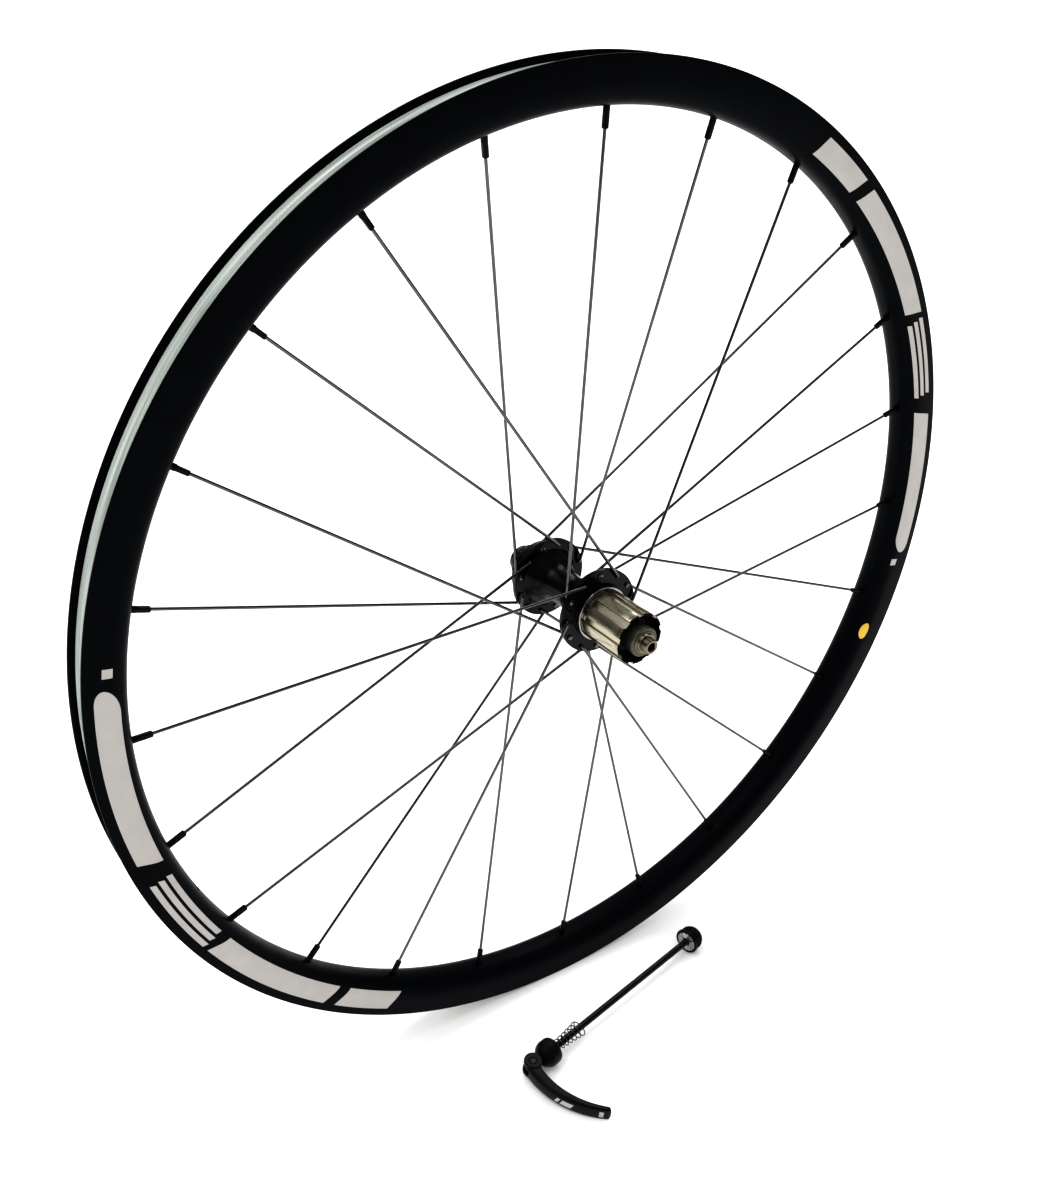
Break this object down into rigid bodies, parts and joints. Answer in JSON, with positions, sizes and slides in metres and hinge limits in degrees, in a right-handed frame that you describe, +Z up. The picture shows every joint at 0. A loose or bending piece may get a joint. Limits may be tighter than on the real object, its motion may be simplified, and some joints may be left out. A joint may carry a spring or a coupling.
{
  "type": "bicycle rear wheel with quick-release skewer",
  "caption": "Black road bicycle rear wheel for a disc brake, crossed wire spokes and a splined sprocket body, with its quick-release skewer lying beside it.",
  "frame": {"origin": "the wheel's centre, on the hub axis and in the middle plane of the rim", "axes": "+Y along the hub axis towards the brake side, -Y towards the sprocket side, +X forwards, +Z up; the wheel spins about Y and the skewer lies on the ground at z = -0.3165"},
  "size_m": [0.6324, 0.2105, 0.6334],
  "materials": {
    "rim_black": "satin anodised",
    "tape_silver": "woven tape",
    "spoke_steel": "polished drawn wire",
    "hub_black": "gloss anodised",
    "bearing_steel": "ground",
    "ratchet_steel": "hardened",
    "freehub_nickel": "champagne anodised",
    "polished_ring": "polished",
    "cap_grey": "satin",
    "axle_steel": "ground",
    "seal_rubber": "matt",
    "rod_black": "blackened",
    "insert_steel": "knurled",
    "black_plastic": "satin"
  },
  "bodies": {
    "axle": {"axle": "axle_steel", "end_cap_brake": "hub_black", "end_cap_drive": "cap_grey", "bearing_spacer": "bearing_steel"},
    "wheel": {"rim": "rim_black", "rim_tape": "tape_silver", "spoke_01": "spoke_steel", "spoke_02": "spoke_steel", "spoke_03": "spoke_steel", "spoke_04": "spoke_steel", "spoke_05": "spoke_steel", "spoke_06": "spoke_steel", "spoke_07": "spoke_steel", "spoke_08": "spoke_steel", "spoke_09": "spoke_steel", "spoke_10": "spoke_steel", "spoke_11": "spoke_steel", "spoke_12": "spoke_steel", "spoke_13": "spoke_steel", "spoke_14": "spoke_steel", "spoke_15": "spoke_steel", "spoke_16": "spoke_steel", "spoke_17": "spoke_steel", "spoke_18": "spoke_steel", "spoke_19": "spoke_steel", "spoke_20": "spoke_steel", "spoke_21": "spoke_steel", "spoke_22": "spoke_steel", "spoke_23": "spoke_steel", "spoke_24": "spoke_steel", "hub_shell": "hub_black", "hub_bearing_drive": "bearing_steel", "hub_bearing_brake": "bearing_steel", "drive_ring": "ratchet_steel"},
    "freehub": {"freehub_body": "freehub_nickel", "freehub_bearing_outer": "bearing_steel", "freehub_bearing_inner": "bearing_steel", "dust_ring": "polished_ring", "freehub_seal": "seal_rubber", "pawl_spring": "bearing_steel"},
    "pawl_1": {"pawl_1": "ratchet_steel"},
    "pawl_2": {"pawl_2": "ratchet_steel"},
    "pawl_3": {"pawl_3": "ratchet_steel"},
    "skewer": {"skewer_rod": "rod_black", "cone_spring": "bearing_steel"},
    "lever": {"skewer_lever": "hub_black", "cam_pin": "bearing_steel"},
    "head": {"skewer_head": "black_plastic", "head_insert": "insert_steel"},
    "nut_insert": {"nut_insert": "insert_steel"},
    "nut_cap": {"nut_cap": "black_plastic"}
  },
  "joints": [
    {"name": "wheel_spin", "type": "hinge", "parent": "axle", "child": "wheel", "pos_m": [0, 0, 0], "axis": [0, 1, 0], "continuous": true},
    {"name": "freehub_spin", "type": "hinge", "parent": "axle", "child": "freehub", "pos_m": [0, -0.04, 0], "axis": [0, 1, 0], "continuous": true},
    {"name": "pawl_1_rock", "type": "hinge", "parent": "freehub", "child": "pawl_1", "pos_m": [0, -0.0169, 0.011], "axis": [0, 1, 0], "range_deg": [0, 12], "stiffness_Nm_per_rad": 0.001, "springref_deg": -17.19},
    {"name": "pawl_2_rock", "type": "hinge", "parent": "freehub", "child": "pawl_2", "pos_m": [-0.00953, -0.0169, -0.0055], "axis": [0, 1, 0], "range_deg": [0, 12], "stiffness_Nm_per_rad": 0.001, "springref_deg": -17.19},
    {"name": "pawl_3_rock", "type": "hinge", "parent": "freehub", "child": "pawl_3", "pos_m": [0.00953, -0.0169, -0.0055], "axis": [0, 1, 0], "range_deg": [0, 12], "stiffness_Nm_per_rad": 0.001, "springref_deg": -17.19},
    {"name": "skewer_lift", "type": "slide", "parent": "axle", "child": "skewer", "axis": [0, 0, 1], "range_m": [0, 0.2]},
    {"name": "lever_swing", "type": "hinge", "parent": "skewer", "child": "lever", "pos_m": [-0.0766, -0.081, -0.3067], "axis": [-0.0167, 0.0838, -0.9963], "range_deg": [0, 170]},
    {"name": "head_slide", "type": "slide", "parent": "skewer", "child": "head", "axis": [-0.9806, -0.196, 0], "range_m": [0, 0.00094]},
    {"name": "nut_slide", "type": "slide", "parent": "skewer", "child": "nut_insert", "axis": [0.9806, 0.196, 0], "range_m": [0, 0.0048]},
    {"name": "nut_turn", "type": "hinge", "parent": "nut_insert", "child": "nut_cap", "pos_m": [0.09795, -0.04612, -0.3067], "axis": [0.9806, 0.196, 0], "range_deg": [0, 2160]}
  ],
  "couplings": [
    {"joint": "head_slide", "follows": "lever_swing", "m_per_rad": 0.00031681},
    {"joint": "nut_slide", "follows": "nut_turn", "m_per_rad": 0.00012732}
  ]
}
